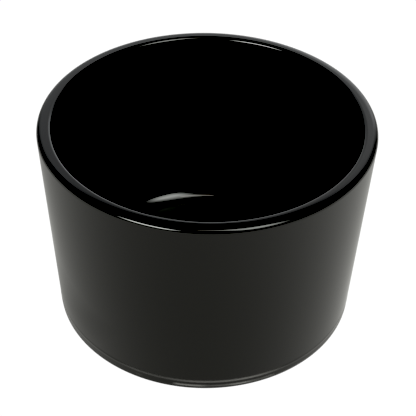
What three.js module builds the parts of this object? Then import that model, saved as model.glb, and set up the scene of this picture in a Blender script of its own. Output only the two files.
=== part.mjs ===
// Empty candle jar: a low, wide bowl of opaque black pressed glass, open at the top.
//
// The jar is one solid of revolution. Its closed profile runs from the axis along the underside (a shallow
// recess inside a flat bearing ring), round the foot, over the fine bead that the parting line of the mould
// leaves just above it, up the straight outer wall that widens towards the mouth, over the rounded lip, down
// the tapered inner wall and round the inner corner to the flat floor, and back to the axis.
//
// Millimetres, +Z up, origin at the centre of the underside, on the surface that the jar stands on.

import * as THREE from "three";

// Driving dimensions.
const HEIGHT = 78;
const MOUTH_DIAMETER = 120; // outer wall, extended to the level of the lip
const FOOT_DIAMETER = 111.2; // outer wall, extended to the base plane
const RIM_THICKNESS = 5.2; // wall thickness at the lip, before its edges are rounded
const FLOOR_WALL_THICKNESS = 5.6; // wall thickness at the level of the floor
const FLOOR_THICKNESS = 3.9; // top of the floor above the base plane

// Rounded edges.
const LIP_OUTER_RADIUS = 2;
const LIP_INNER_RADIUS = 1.4;
const FOOT_RADIUS = 0.7;
const INNER_CORNER_RADIUS = 7.4;

// Underside.
const RECESS_DEPTH = 1;
const RECESS_RADIUS = 44; // flat middle of the recess
const BEARING_RING_RADIUS = 47; // inner edge of the ring that the jar stands on

// Bead at the parting line of the mould.
const BEAD_HEIGHT = 4.1;
const BEAD_WIDTH = 1.1;
const BEAD_DEPTH = 0.2;

// Fineness of the surface.
const SIDES = 96;
const LIP_STEPS = 6;
const FOOT_STEPS = 4;
const INNER_CORNER_STEPS = 8;

const point = (radius, height) => new THREE.Vector2(radius, height);

const outerRadiusAt = (height) => {
  const share = height / HEIGHT;
  return THREE.MathUtils.lerp(FOOT_DIAMETER / 2, MOUTH_DIAMETER / 2, share);
};

const innerRadiusAt = (height) => {
  const floorRadius = outerRadiusAt(FLOOR_THICKNESS) - FLOOR_WALL_THICKNESS;
  const rimRadius = MOUTH_DIAMETER / 2 - RIM_THICKNESS;
  const share = (height - FLOOR_THICKNESS) / (HEIGHT - FLOOR_THICKNESS);
  return THREE.MathUtils.lerp(floorRadius, rimRadius, share);
};

// The points of an arc that rounds the corner between two straight runs of the profile.
const roundedCorner = (before, corner, after, radius, steps) => {
  const toBefore = before.clone().sub(corner).normalize();
  const toAfter = after.clone().sub(corner).normalize();
  const halfAngle = Math.acos(toBefore.dot(toAfter)) / 2;
  const tangentLength = radius / Math.tan(halfAngle);
  const bisector = toBefore.clone().add(toAfter).normalize();
  const centre = corner.clone().addScaledVector(bisector, radius / Math.sin(halfAngle));
  const start = corner.clone().addScaledVector(toBefore, tangentLength);
  const end = corner.clone().addScaledVector(toAfter, tangentLength);
  const fromCentre = start.clone().sub(centre);
  const sweep = Math.atan2(fromCentre.cross(end.clone().sub(centre)), fromCentre.dot(end.clone().sub(centre)));
  const arcPoint = (_, i) => start.clone().rotateAround(centre, (sweep * i) / steps);
  return Array.from({ length: steps + 1 }, arcPoint);
};

// A low triangular bead on the outer wall.
const partingBead = () => {
  const below = BEAD_HEIGHT - BEAD_WIDTH / 2;
  const above = BEAD_HEIGHT + BEAD_WIDTH / 2;
  return [
    point(outerRadiusAt(below), below),
    point(outerRadiusAt(BEAD_HEIGHT) + BEAD_DEPTH, BEAD_HEIGHT),
    point(outerRadiusAt(above), above),
  ];
};

const jarProfile = () => {
  const ringEdge = point(BEARING_RING_RADIUS, 0);
  const foot = point(outerRadiusAt(0), 0);
  const outerLip = point(outerRadiusAt(HEIGHT), HEIGHT);
  const innerLip = point(innerRadiusAt(HEIGHT), HEIGHT);
  const innerCorner = point(innerRadiusAt(FLOOR_THICKNESS), FLOOR_THICKNESS);
  const floorCentre = point(0, FLOOR_THICKNESS);
  return [
    point(0, RECESS_DEPTH),
    point(RECESS_RADIUS, RECESS_DEPTH),
    ringEdge,
    ...roundedCorner(ringEdge, foot, outerLip, FOOT_RADIUS, FOOT_STEPS),
    ...partingBead(),
    ...roundedCorner(foot, outerLip, innerLip, LIP_OUTER_RADIUS, LIP_STEPS),
    ...roundedCorner(outerLip, innerLip, innerCorner, LIP_INNER_RADIUS, LIP_STEPS),
    ...roundedCorner(innerLip, innerCorner, floorCentre, INNER_CORNER_RADIUS, INNER_CORNER_STEPS),
    floorCentre,
  ];
};

const blackGlass = new THREE.MeshStandardMaterial({
  name: "black_glass",
  color: 0x060607,
  roughness: 0.05,
  metalness: 0,
});

const glassJar = () => {
  const geometry = new THREE.LatheGeometry(jarProfile(), SIDES);
  geometry.rotateX(Math.PI / 2);
  const mesh = new THREE.Mesh(geometry, blackGlass);
  mesh.name = "glass_jar";
  return mesh;
};

const candleJar = new THREE.Group();
candleJar.add(glassJar());

export default candleJar;
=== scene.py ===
"""Looks of the empty candle jar: one piece of black pressed glass in a plain white studio.

Metres, +Z up, origin at the centre of the underside. Azimuths are in degrees round +Z from +Y, which is
behind the jar, and grow towards +X, which is on its right. Elevations are in degrees above the horizon.
"""

import math

import bpy
from mathutils import Matrix, Quaternion, Vector, noise


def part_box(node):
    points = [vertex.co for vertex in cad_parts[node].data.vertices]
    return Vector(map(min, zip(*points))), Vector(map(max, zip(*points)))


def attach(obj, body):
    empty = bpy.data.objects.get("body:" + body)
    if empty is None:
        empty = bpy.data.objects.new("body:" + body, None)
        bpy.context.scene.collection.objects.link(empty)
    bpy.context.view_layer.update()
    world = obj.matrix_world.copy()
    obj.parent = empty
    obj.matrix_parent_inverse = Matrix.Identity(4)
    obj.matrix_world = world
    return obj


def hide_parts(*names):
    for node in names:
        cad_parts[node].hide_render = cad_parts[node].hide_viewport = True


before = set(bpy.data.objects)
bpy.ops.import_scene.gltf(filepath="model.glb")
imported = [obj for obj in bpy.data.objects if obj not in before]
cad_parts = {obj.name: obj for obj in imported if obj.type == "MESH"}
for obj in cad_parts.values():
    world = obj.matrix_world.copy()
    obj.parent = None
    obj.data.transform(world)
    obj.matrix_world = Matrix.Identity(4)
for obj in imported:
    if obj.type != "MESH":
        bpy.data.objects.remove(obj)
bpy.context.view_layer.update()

MM = 0.001

# ----------------------------------------------------------------------------
# Shape of the jar
# ----------------------------------------------------------------------------

_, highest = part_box("glass_jar")
HEIGHT = highest.z
WIDEST_RADIUS = highest.x  # where the outer wall turns into the lip

WALL_LEAN = 3.23  # degrees; the wall widens towards the mouth
INNER_WALL_LEAN = 3.55
FLOOR_THICKNESS = 3.9 * MM

# The lip is seven arcs that run on from one another, from the outer wall to the inner wall. Each has its
# radius and the direction it ends facing, in degrees from straight outwards. The widest is the land on top.
LIP_ARCS = [
    (1.81 * MM, 23.8),
    (1.89 * MM, 69.1),
    (2.38 * MM, 84.9),
    (33.9 * MM, 88.0),
    (1.70 * MM, 115.0),
    (1.19 * MM, 149.3),
    (2.00 * MM, 180 - INNER_WALL_LEAN),
]
FOOT_RADIUS = 0.7 * MM
INNER_CORNER_RADIUS = 7.4 * MM

RECESS_DEPTH = 1 * MM
RECESS_RADIUS = 44 * MM
BEARING_RING_RADIUS = 47 * MM
RECESS_EDGE_RADIUS = 0.8 * MM

BEAD_HEIGHT = 4.25 * MM  # the mould's parting line
BEAD_WIDTH = 1.7 * MM
BEAD_DEPTH = 0.06 * MM
FLASH_HEIGHT = 2.05 * MM  # the broken line that the mould's base plate leaves at the foot
FLASH_WIDTH = 1.5 * MM
FLASH_DEPTH = 0.06 * MM

# How strongly the two seams show round the jar, as painted highlight and, for the flash, also as its height:
# a middle value, and how far, how often and from which place in the noise it varies.
BEAD_HIGHLIGHT_NOISE = {"middle": 0.17, "spread": 1.2, "scale": 3, "start": (12.3, 10.6, 3.1)}
FLASH_NOISE = {"middle": 0.2, "spread": 3, "scale": 6, "start": (11.3, 4.6, 7.1)}

FOOT_WEAR_DEPTH = 0.25 * MM  # the foot's edge is rubbed rounder on the front right
FOOT_WEAR_REACH = 1.8 * MM
FOOT_WEAR_AT = math.radians(-55)  # round +Z from +X
FOOT_WEAR_POWER = 4  # the higher, the shorter the rubbed stretch

SIDES = 384
ARC_STEPS = 14
RECESS_ARC_STEPS = 6
LIP_STEPS = 8
FINE_STEP = 0.08 * MM  # rows of faces across the beads
FINE_TOP = 5.3 * MM
WALL_ROWS = 24
FLOOR_ROWS = 10
RING_ROWS = 4

WAVE_DEPTH = 0.01 * MM  # pressed glass is never quite true
WAVE_LENGTH = 34 * MM
LIP_WAVE_DEPTH = 0.006 * MM
LIP_WAVE_LENGTH = 9 * MM
LIP_WAVE_REACH = 3 * MM  # how far below the top it fades out
LIP_WAVE_START = Vector((7, 3, 5))


def facing_out(radius, degrees):
    """The step from an arc's centre to its point that faces this way."""
    return radius * Vector((math.cos(math.radians(degrees)), math.sin(math.radians(degrees))))


def lip_outline():
    """The lip's arcs, placed so that they reach the jar's full width and full height."""
    spots = [Vector((0, 0))]
    start = -WALL_LEAN
    for radius, end in LIP_ARCS:
        centre = spots[-1] - facing_out(radius, start)
        turn = (end - start) / LIP_STEPS
        spots += [centre + facing_out(radius, start + turn * i) for i in range(1, LIP_STEPS + 1)]
        start = end
    shift = Vector((WIDEST_RADIUS - max(s.x for s in spots), HEIGHT - max(s.y for s in spots)))
    return [spot + shift for spot in spots]


def down_wall(top, lean, height):
    """The point at this height of a wall that leans outwards up to its top."""
    return Vector((top.x - (top.y - height) * math.tan(math.radians(lean)), height))


def rounded(before, corner, after, radius, steps=ARC_STEPS):
    """Points of the arc that rounds the corner between two straight runs of the outline."""
    to_before = (before - corner).normalized()
    to_after = (after - corner).normalized()
    half_angle = math.acos(to_before.dot(to_after)) / 2
    bisector = (to_before + to_after).normalized()
    centre = corner + bisector * radius / math.sin(half_angle)
    start = corner + to_before * radius / math.tan(half_angle) - centre
    end = corner + to_after * radius / math.tan(half_angle) - centre
    turn = math.atan2(start.cross(end), start.dot(end))
    return [centre + Matrix.Rotation(turn * i / steps, 2) @ start for i in range(steps + 1)]


def straight(start, end, rows):
    """Points between two ends of a straight run, without the ends."""
    return [start.lerp(end, i / rows) for i in range(1, rows)]


def jar_outline():
    """The outline from the middle of the underside, up the outer wall, over the lip and down to the floor."""
    lip = lip_outline()
    recess_centre = Vector((0, RECESS_DEPTH))
    recess_edge = Vector((RECESS_RADIUS, RECESS_DEPTH))
    ring_edge = Vector((BEARING_RING_RADIUS, 0))
    foot = down_wall(lip[0], WALL_LEAN, 0)
    inner_corner = down_wall(lip[-1], INNER_WALL_LEAN, FLOOR_THICKNESS)
    floor_centre = Vector((0, FLOOR_THICKNESS))

    recess_arc = rounded(recess_centre, recess_edge, ring_edge, RECESS_EDGE_RADIUS, RECESS_ARC_STEPS)
    ring_arc = rounded(recess_edge, ring_edge, foot, RECESS_EDGE_RADIUS, RECESS_ARC_STEPS)
    foot_arc = rounded(ring_edge, foot, lip[0], FOOT_RADIUS)
    corner_arc = rounded(lip[-1], inner_corner, floor_centre, INNER_CORNER_RADIUS)

    fine_end = down_wall(lip[0], WALL_LEAN, FINE_TOP)
    fine_rows = round((FINE_TOP - foot_arc[-1].y) / FINE_STEP)
    outline = [recess_centre]
    outline += straight(recess_centre, recess_arc[0], FLOOR_ROWS)
    outline += recess_arc
    outline += ring_arc
    outline += straight(ring_arc[-1], foot_arc[0], RING_ROWS)
    outline += foot_arc
    outline += straight(foot_arc[-1], fine_end, fine_rows)
    outline += [fine_end]
    outline += straight(fine_end, lip[0], WALL_ROWS)
    outline += lip
    outline += straight(lip[-1], corner_arc[0], WALL_ROWS)
    outline += corner_arc
    outline += straight(corner_arc[-1], floor_centre, FLOOR_ROWS)
    outline += [floor_centre]
    return outline


def outline_normals(outline):
    """Outward directions across the outline, halfway between those of the runs on either side."""
    normals = []
    for i in range(len(outline)):
        before = outline[max(i - 1, 0)]
        after = outline[min(i + 1, len(outline) - 1)]
        along = (after - before).normalized()
        normals.append(Vector((along.y, -along.x)))
    return normals


def hump(distance, width):
    """A smooth rise from 0 to 1 and back within half the width on either side."""
    share = abs(distance) / (width / 2)
    if share >= 1:
        return 0
    return 0.5 + 0.5 * math.cos(math.pi * share)


def unevenness(angle, scale, start):
    """A smooth random value between about -0.5 and 0.5 that runs once round the jar without a break."""
    return noise.noise(Vector((math.cos(angle), math.sin(angle), 0)) * scale + Vector(start))


def seam_patches(angle, middle, spread, scale, start):
    """How strongly a seam shows at this angle round the jar, from 0 to 1."""
    return max(0, min(1, middle + spread * unevenness(angle, scale, start)))


def bead_painted_highlight(spot, angle):
    """How much painted highlight the parting bead gets here, standing in for the light it catches."""
    return hump(spot.y - BEAD_HEIGHT, BEAD_WIDTH) * seam_patches(angle, **BEAD_HIGHLIGHT_NOISE)


def flash_height_and_highlight(spot, angle):
    """How strongly the base plate's broken line shows here: its height, and the painted highlight along it.
    """
    return hump(spot.y - FLASH_HEIGHT, FLASH_WIDTH) * seam_patches(angle, **FLASH_NOISE)


def painted_seam_highlight(spot, angle):
    """How much painted highlight the seams get at this point of the outer wall, from 0 to 1."""
    if spot.x < BEARING_RING_RADIUS or spot.y > FINE_TOP + BEAD_WIDTH:
        return 0
    return max(bead_painted_highlight(spot, angle), flash_height_and_highlight(spot, angle))


def ridge(spot, angle):
    """How far the parting bead and the base plate's flash stand proud of the outer wall."""
    if spot.x < BEARING_RING_RADIUS or spot.y > FINE_TOP:
        return 0
    bead = BEAD_DEPTH * hump(spot.y - BEAD_HEIGHT, BEAD_WIDTH)
    flash = FLASH_DEPTH * flash_height_and_highlight(spot, angle)
    return bead + flash


FOOT_CORNER = down_wall(lip_outline()[0], WALL_LEAN, 0)  # where the foot's edge would be if it were sharp


def foot_wear(spot, angle):
    """How much of the foot's edge is rubbed away."""
    round_the_jar = max(0, math.cos(angle - FOOT_WEAR_AT)) ** FOOT_WEAR_POWER
    return FOOT_WEAR_DEPTH * round_the_jar * hump((spot - FOOT_CORNER).length, 2 * FOOT_WEAR_REACH)


def wave(spot, angle):
    """Slight unevenness of the pressed glass, never outwards of the true surface."""
    place = Vector((spot.x * math.cos(angle), spot.x * math.sin(angle), spot.y))
    broad = noise.noise(place / WAVE_LENGTH)
    near_lip = max(0, 1 - (HEIGHT - spot.y) / LIP_WAVE_REACH)
    fine = noise.noise(place / LIP_WAVE_LENGTH + LIP_WAVE_START)
    return WAVE_DEPTH * (broad - 1) / 2 + near_lip * LIP_WAVE_DEPTH * (fine - 1) / 2


def jar_point(spot, normal, angle):
    """One point of the glass, at this spot of the outline and this angle round the axis."""
    rise = ridge(spot, angle) - foot_wear(spot, angle)
    if spot.x > 0 and spot.y > 0:  # the bearing ring stays flat
        rise += wave(spot, angle)
    radius = spot.x + normal.x * rise
    height = spot.y + normal.y * rise
    return Vector((radius * math.cos(angle), radius * math.sin(angle), height))


def jar_faces(rings):
    """Quads between so many rings of points, and a fan at each end round a single point."""
    last_point = 1 + rings * SIDES

    def index(ring, side):
        return 1 + ring * SIDES + side % SIDES

    faces = []
    for side in range(SIDES):
        faces.append((0, index(0, side + 1), index(0, side)))
        for ring in range(rings - 1):
            below = (index(ring, side), index(ring, side + 1))
            above = (index(ring + 1, side + 1), index(ring + 1, side))
            faces.append(below + above)
        faces.append((index(rings - 1, side), index(rings - 1, side + 1), last_point))
    return faces


def jar_mesh():
    """The outline turned round the axis, closed at the middle of the underside and of the floor inside."""
    outline = jar_outline()
    normals = outline_normals(outline)
    points = [jar_point(outline[0], normals[0], 0)]
    seam_highlight_paint = [0]
    for spot, normal in zip(outline[1:-1], normals[1:-1]):
        for side in range(SIDES):
            angle = math.tau * side / SIDES
            points.append(jar_point(spot, normal, angle))
            seam_highlight_paint.append(painted_seam_highlight(spot, angle))
    points.append(jar_point(outline[-1], normals[-1], 0))
    seam_highlight_paint.append(0)

    mesh = bpy.data.meshes.new("glass_jar_body")
    mesh.from_pydata(points, [], jar_faces(len(outline) - 2))
    # The seams' painted highlight, kept for each point for the material.
    mesh.attributes.new("seam_highlight_paint", "FLOAT", "POINT").data.foreach_set("value", seam_highlight_paint)
    mesh.validate()
    mesh.shade_smooth()
    return mesh


# ----------------------------------------------------------------------------
# Materials
# ----------------------------------------------------------------------------


class Nodes:
    """A small builder for a material's nodes."""

    def __init__(self, material):
        material.use_nodes = True
        self.tree = material.node_tree
        self.tree.nodes.clear()

    def add(self, kind, inputs=None, **settings):
        """A new node of this kind, with each input linked or set to a constant."""
        node = self.tree.nodes.new("ShaderNode" + kind)
        for name, value in settings.items():
            setattr(node, name, value)
        for name, value in (inputs or {}).items():
            if isinstance(value, bpy.types.NodeSocket):
                self.tree.links.new(value, node.inputs[name])
            else:
                node.inputs[name].default_value = value
        return node

    def math(self, operation, first, second=0.0, third=0.0):
        return self.add("Math", {0: first, 1: second, 2: third}, operation=operation).outputs[0]

    def stretch(self, value, low, high, to_low, to_high):
        """Maps low...high to to_low...to_high, and stays at its ends outside that range."""
        values = {"Value": value, "From Min": low, "From Max": high, "To Min": to_low, "To Max": to_high}
        return self.add("MapRange", values).outputs[0]

    def mix(self, factor, first, second):
        """The first colour at factor 0, the second at 1."""
        colours = {"Factor": factor, "A": first, "B": second}
        node = self.add("Mix", data_type="RGBA")
        sockets = {socket.name: socket for socket in node.inputs if socket.enabled}
        for name, value in colours.items():
            socket = sockets[name]
            if isinstance(value, bpy.types.NodeSocket):
                self.tree.links.new(value, socket)
            else:
                socket.default_value = value
        return next(s for s in node.outputs if s.enabled)


GLASS_COLOUR = (0.0004, 0.0004, 0.0004, 1)
GLASS_IOR = 1.5
# A light grey painted along the seams, standing in for their highlights.
SEAM_HIGHLIGHT_COLOUR = (0.45, 0.45, 0.44, 1)
SEAM_ROUGHNESS = 0.5

# Noise scales are per metre.
SMEAR_SCALE = 45.0
SMEAR_FROM = 0.35  # noise value where smears start
SMEAR_TO = 0.7
POLISHED = 0.03  # roughness without smears
SMEARED = 0.06

DUST_SCALE = 90.0
DUST_FREE = 0.93  # share of the noise cells that have no speck
DUST_SPECK = 0.05  # the largest speck's radius, as a share of a cell
DUST_COLOUR = (0.10, 0.10, 0.09, 1)
DUST_ROUGHNESS = 0.6

GRIT_SCALE = 900.0
GRIT_FROM = 0.45
GRIT_TO = 0.6
SCUFF_TOP = 0.4 * MM  # only what touches the table is scuffed
SCUFF_COLOUR = (0.012, 0.012, 0.012, 1)
SCUFF_ROUGHNESS = 0.45
PIT_STRENGTH = 0.3
PIT_DEPTH = 0.05 * MM

RIPPLE_SCALE = 60.0
RIPPLE_STRENGTH = 0.05
RIPPLE_DEPTH = 0.2 * MM


def black_glass():
    """Opaque black pressed glass: polished, faintly rippled, a little dusty, scuffed where it stands, painted
    lighter along the seams as a highlight.
    """
    material = bpy.data.materials.new("black_glass")
    nodes = Nodes(material)
    place = nodes.add("TexCoord").outputs["Object"]
    height = nodes.add("SeparateXYZ", {"Vector": place}).outputs["Z"]

    polish = nodes.add("TexNoise", {"Vector": place, "Scale": SMEAR_SCALE, "Detail": 3.0}).outputs["Fac"]
    smear = nodes.stretch(polish, SMEAR_FROM, SMEAR_TO, POLISHED, SMEARED)

    specks = nodes.add("TexVoronoi", {"Vector": place, "Scale": DUST_SCALE, "Randomness": 1.0})
    size = nodes.add("SeparateXYZ", {"Vector": specks.outputs["Color"]}).outputs["X"]
    reach = nodes.stretch(size, DUST_FREE, 1.0, 0.0, DUST_SPECK)
    dust = nodes.math("LESS_THAN", specks.outputs["Distance"], reach)

    grit = nodes.add("TexNoise", {"Vector": place, "Scale": GRIT_SCALE, "Detail": 4.0}).outputs["Fac"]
    low = nodes.stretch(height, 0.0, SCUFF_TOP, 1.0, 0.0)
    scuff = nodes.math("MULTIPLY", low, nodes.stretch(grit, GRIT_FROM, GRIT_TO, 0.0, 1.0))

    # Painted highlight along the seams.
    seam = nodes.add("Attribute", attribute_name="seam_highlight_paint").outputs["Fac"]

    with_seam_highlight = nodes.mix(seam, GLASS_COLOUR, SEAM_HIGHLIGHT_COLOUR)
    worn = nodes.mix(scuff, with_seam_highlight, SCUFF_COLOUR)
    colour = nodes.mix(dust, worn, DUST_COLOUR)
    rough = nodes.math("MAXIMUM", smear, nodes.math("MULTIPLY", scuff, SCUFF_ROUGHNESS))
    rough = nodes.math("MAXIMUM", rough, nodes.math("MULTIPLY", seam, SEAM_ROUGHNESS))
    roughness = nodes.math("MAXIMUM", rough, nodes.math("MULTIPLY", dust, DUST_ROUGHNESS))

    ripple = nodes.add("TexNoise", {"Vector": place, "Scale": RIPPLE_SCALE, "Detail": 2.0}).outputs["Fac"]
    waves = {"Height": ripple, "Strength": RIPPLE_STRENGTH, "Distance": RIPPLE_DEPTH}
    wavy = nodes.add("Bump", waves).outputs[0]
    pits = {"Height": scuff, "Strength": PIT_STRENGTH, "Distance": PIT_DEPTH, "Normal": wavy}
    pitted = nodes.add("Bump", pits).outputs[0]

    surface = {"Base Color": colour, "Roughness": roughness, "IOR": GLASS_IOR, "Normal": pitted}
    shader = nodes.add("BsdfPrincipled", surface)
    nodes.add("OutputMaterial", {"Surface": shader.outputs[0]})
    return material


FLOOR_SEEN = 0.9  # what the camera sees
# The glass sees the floor in painted shade: dimmest right under the jar and behind it.
FLOOR_IN_GLASS = 0.457  # right under the jar; it grows towards the front and towards both sides
FLOOR_TO_FRONT = 1.75  # per metre
FLOOR_TO_RIGHT = 0.54
FLOOR_TO_SIDES = 8.3  # per square metre
FLOOR_REACH = 0.13  # from the axis; further out it changes no more
FLOOR_TINT = (1.0, 1.0, 0.95, 1)

# Painted light: well away from the jar the glass sees the floor brighter, except behind it, which stays in
# painted shade.
FLOOR_FAR = 0.85  # what the glass shows of the floor well away from the jar, but not behind it
FAR_START = 0.13  # from the axis
FAR_FULL = 0.26
FAR_BEHIND = 0.4  # sine of the angle past straight sideways where it has faded out

# A painted shadow in what the glass sees, close to the left of the foot.
SHADE_DEPTH = 0.35  # close to the left of the foot
SHADE_REACH = 72 * MM  # from the axis
SHADE_LEFT = -58 * MM  # the shade is full left of this
SHADE_RIGHT = -44 * MM  # and gone right of this


def floor_glow():
    """A white light table with no shadow to the camera. The glass shows it dimmer and in painted shade."""
    material = bpy.data.materials.new("floor_glow")
    nodes = Nodes(material)
    seen = nodes.add("LightPath").outputs["Is Camera Ray"]
    spot = nodes.add("TexCoord").outputs["Object"]
    place = nodes.add("SeparateXYZ", {"Vector": spot})
    from_axis = nodes.add("VectorMath", {0: spot}, operation="LENGTH").outputs["Value"]

    # Painted shade: darkest under and behind the jar, lighter towards the front and the sides.
    across = nodes.stretch(place.outputs["X"], -FLOOR_REACH, FLOOR_REACH, -FLOOR_REACH, FLOOR_REACH)
    ahead = nodes.stretch(place.outputs["Y"], -FLOOR_REACH, FLOOR_REACH, FLOOR_REACH, -FLOOR_REACH)
    glow = nodes.math("MULTIPLY_ADD", ahead, FLOOR_TO_FRONT, FLOOR_IN_GLASS)
    glow = nodes.math("MULTIPLY_ADD", across, FLOOR_TO_RIGHT, glow)
    glow = nodes.math("MULTIPLY_ADD", nodes.math("MULTIPLY", across, across), FLOOR_TO_SIDES, glow)

    # Painted shadow close to the left of the foot.
    near = nodes.stretch(from_axis, FOOT_CORNER.x, SHADE_REACH, SHADE_DEPTH, 0.0)
    left = nodes.stretch(place.outputs["X"], SHADE_LEFT, SHADE_RIGHT, 1.0, 0.0)
    shade = nodes.math("MULTIPLY", near, left)
    glow = nodes.math("MULTIPLY", glow, nodes.math("SUBTRACT", 1.0, shade))

    # Painted light further out, except behind the jar.
    behind = nodes.math("DIVIDE", place.outputs["Y"], from_axis)
    not_behind = nodes.stretch(behind, 0.0, FAR_BEHIND, 1.0, 0.0)
    far = nodes.math("MULTIPLY", nodes.stretch(from_axis, FAR_START, FAR_FULL, 0.0, 1.0), not_behind)
    glow = nodes.math("MULTIPLY", glow, nodes.math("SUBTRACT", 1.0, far))
    glow = nodes.math("MULTIPLY_ADD", far, FLOOR_FAR, glow)

    strength = nodes.math("MAXIMUM", nodes.math("MULTIPLY", seen, FLOOR_SEEN), glow)
    tint = nodes.mix(seen, FLOOR_TINT, (1, 1, 1, 1))
    shader = nodes.add("Emission", {"Color": tint, "Strength": strength})
    nodes.add("OutputMaterial", {"Surface": shader.outputs[0]})
    return material


def card_light(name, size, soft, radiance, tint):
    """A glow that fades out towards the card's edges and lets what is behind it show through."""
    material = bpy.data.materials.new(name)
    nodes = Nodes(material)
    place = nodes.add("SeparateXYZ", {"Vector": nodes.add("TexCoord").outputs["UV"]})
    strength = radiance
    for axis, length, edge in zip("XY", size, soft):
        from_middle = nodes.math("ABSOLUTE", nodes.math("SUBTRACT", place.outputs[axis], 0.5))
        inside = {"Value": from_middle, "From Min": 0.5, "From Max": 0.5 - edge / length}
        fade = nodes.add("MapRange", inside, interpolation_type="SMOOTHSTEP")
        strength = nodes.math("MULTIPLY", fade.outputs[0], strength)
    glow = nodes.add("Emission", {"Color": (*tint, 1), "Strength": strength})
    clear = nodes.add("BsdfTransparent")
    both = nodes.add("AddShader", {0: glow.outputs[0], 1: clear.outputs[0]})
    nodes.add("OutputMaterial", {"Surface": both.outputs[0]})
    return material


# ----------------------------------------------------------------------------
# Stage: floor, background, lights
# ----------------------------------------------------------------------------

STAGE_CENTRE = Vector((0, 0, HEIGHT))
FLOOR_SIZE = 20.0
BACKGROUND_GLOW = 0.9
CARD_DISTANCE = 4.0

PAPER_TINT = (0.97, 0.99, 1.0)
LAMP_TINT = (1.0, 1.03, 0.98)
WARM_TINT = (1.0, 0.95, 0.86)


def direction(azimuth, elevation):
    """The unit vector from the jar towards this azimuth and elevation."""
    turn = math.radians(azimuth)
    rise = math.radians(elevation)
    return Vector((math.sin(turn) * math.cos(rise), math.cos(turn) * math.cos(rise), math.sin(rise)))


def facing(place, target, tilt=0):
    """The transform of something at place that points its -Z at target, tilted by so many degrees."""
    turn = (target - place).to_track_quat("-Z", "Y") @ Quaternion((0, 0, 1), math.radians(tilt))
    return Matrix.LocRotScale(place, turn, None)


def add_object(name, data, transform=None):
    """A new object in the scene, moved to its place."""
    thing = bpy.data.objects.new(name, data)
    bpy.context.scene.collection.objects.link(thing)
    if transform is not None:
        thing.matrix_world = transform
    return thing


def plane_mesh(name, width, depth):
    """A flat rectangle about the origin, whose UVs run from 0 to 1 along each side."""
    mesh = bpy.data.meshes.new(name)
    corners = [(-width / 2, -depth / 2, 0), (width / 2, -depth / 2, 0)]
    corners += [(width / 2, depth / 2, 0), (-width / 2, depth / 2, 0)]
    mesh.from_pydata(corners, [], [(0, 1, 2, 3)])
    uv = mesh.uv_layers.new(name="UVMap")
    for loop, place in zip(uv.data, [(0, 0), (1, 0), (1, 1), (0, 1)]):
        loop.uv = place
    return mesh


def add_floor():
    """The white table that the jar stands on."""
    floor = add_object("floor", plane_mesh("floor", FLOOR_SIZE, FLOOR_SIZE))
    floor.data.materials.append(floor_glow())


def add_card(name, azimuth, elevation, size, soft, radiance, tint=(1, 1, 1), tilt=0):
    """A glowing card that only the glass sees. Its size is measured halfway down its soft edges."""
    place = STAGE_CENTRE + direction(azimuth, elevation) * CARD_DISTANCE
    whole = [length + edge for length, edge in zip(size, soft)]
    card = add_object(name, plane_mesh(name, *whole), facing(place, STAGE_CENTRE, tilt))
    card.data.materials.append(card_light(name, whole, soft, radiance, tint))
    card.visible_camera = False
    card.visible_diffuse = False
    card.visible_shadow = False


def set_background():
    """Pale to the camera, dark to the glass and to the floor."""
    world = bpy.data.worlds.new("studio")
    bpy.context.scene.world = world
    world.use_nodes = True
    tree = world.node_tree
    tree.nodes.clear()
    path = tree.nodes.new("ShaderNodeLightPath")
    glow = tree.nodes.new("ShaderNodeBackground")
    output = tree.nodes.new("ShaderNodeOutputWorld")
    glow.inputs["Color"].default_value = (BACKGROUND_GLOW, BACKGROUND_GLOW, BACKGROUND_GLOW, 1)
    tree.links.new(path.outputs["Is Camera Ray"], glow.inputs["Strength"])
    tree.links.new(glow.outputs[0], output.inputs["Surface"])


BLACK_LEVEL = 0.02
WHITE_LEVEL = 0.85


def set_exposure():
    """A contrasty print: the darkest reflections are black, and the floor is white."""
    view = bpy.context.scene.view_settings
    view.view_transform = "Standard"
    view.use_curve_mapping = True
    view.curve_mapping.black_level = (BLACK_LEVEL, BLACK_LEVEL, BLACK_LEVEL)
    view.curve_mapping.white_level = (WHITE_LEVEL, WHITE_LEVEL, WHITE_LEVEL)
    view.curve_mapping.update()


# ----------------------------------------------------------------------------
# Camera
# ----------------------------------------------------------------------------

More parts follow.
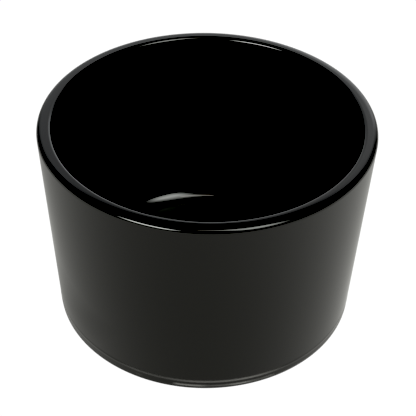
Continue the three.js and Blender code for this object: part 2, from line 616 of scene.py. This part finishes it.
CAMERA_ELEVATION = 39.375
CAMERA_DISTANCE = 449.0 * MM
CAMERA_PIVOT = Vector((0, 0, HEIGHT / 2))
CAMERA_YAW = 0.00174  # how far it looks past the pivot, as a share of the distance
CAMERA_PITCH = -0.00180
CAMERA_ROLL = math.radians(1.233)
CAMERA_LENS = 104.6  # millimetres, as is the sensor
CAMERA_SENSOR = 36.0
CLIP_START = 0.01


def add_camera():
    """The photo's camera, straight in front of the jar and looking down into it."""
    back = direction(180, CAMERA_ELEVATION)
    place = CAMERA_PIVOT + back * CAMERA_DISTANCE
    right = Vector((1, 0, 0))
    up = right.cross(-back)
    forward = (-back + right * CAMERA_YAW + up * CAMERA_PITCH).normalized()
    level = forward.cross(Vector((0, 0, 1))).normalized()
    upright = level.cross(forward)
    cos = math.cos(CAMERA_ROLL)
    sin = math.sin(CAMERA_ROLL)
    axis_x = cos * level + sin * upright
    axis_y = cos * upright - sin * level
    rotation = Matrix((axis_x, axis_y, -forward)).transposed()
    data = bpy.data.cameras.new("camera")
    data.lens = CAMERA_LENS
    data.sensor_width = CAMERA_SENSOR
    data.clip_start = CLIP_START
    camera = add_object("camera", data, Matrix.LocRotScale(place, rotation, None))
    bpy.context.scene.camera = camera


# ----------------------------------------------------------------------------
# The scene
# ----------------------------------------------------------------------------

add_camera()

jar = add_object("glass_jar_body", jar_mesh())
jar.data.materials.append(black_glass())
even_shading = jar.modifiers.new("even_shading", "WEIGHTED_NORMAL")
even_shading.mode = "FACE_AREA"
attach(jar, "root")
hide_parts("glass_jar")

add_floor()
set_background()
add_card("backdrop", -0.2, 17.5, (5.29, 4.24), (3.3, 0.5), 0.727, tint=PAPER_TINT)
add_card("backdrop_right", 0.5, -4.2, (2.46, 6.48), (0.22, 0.77), 0.564, tint=PAPER_TINT, tilt=45)
add_card("backdrop_top", 26, 27.2, (3.76, 0.66), (0.19, 0.46), 0.22, tilt=44)
add_card("softbox_left", -144.5, 27.1, (2.04, 1.07), (1.06, 0.09), 13.1, tint=LAMP_TINT, tilt=-1.4)
add_card("softbox_right", 141.3, 50.5, (1.51, 1.62), (1.02, 3.18), 8.26, tint=LAMP_TINT, tilt=6.4)
add_card("overhead_strip", 168, 65, (1.3, 0.44), (0.2, 0.13), 2.8, tint=WARM_TINT)

set_exposure()
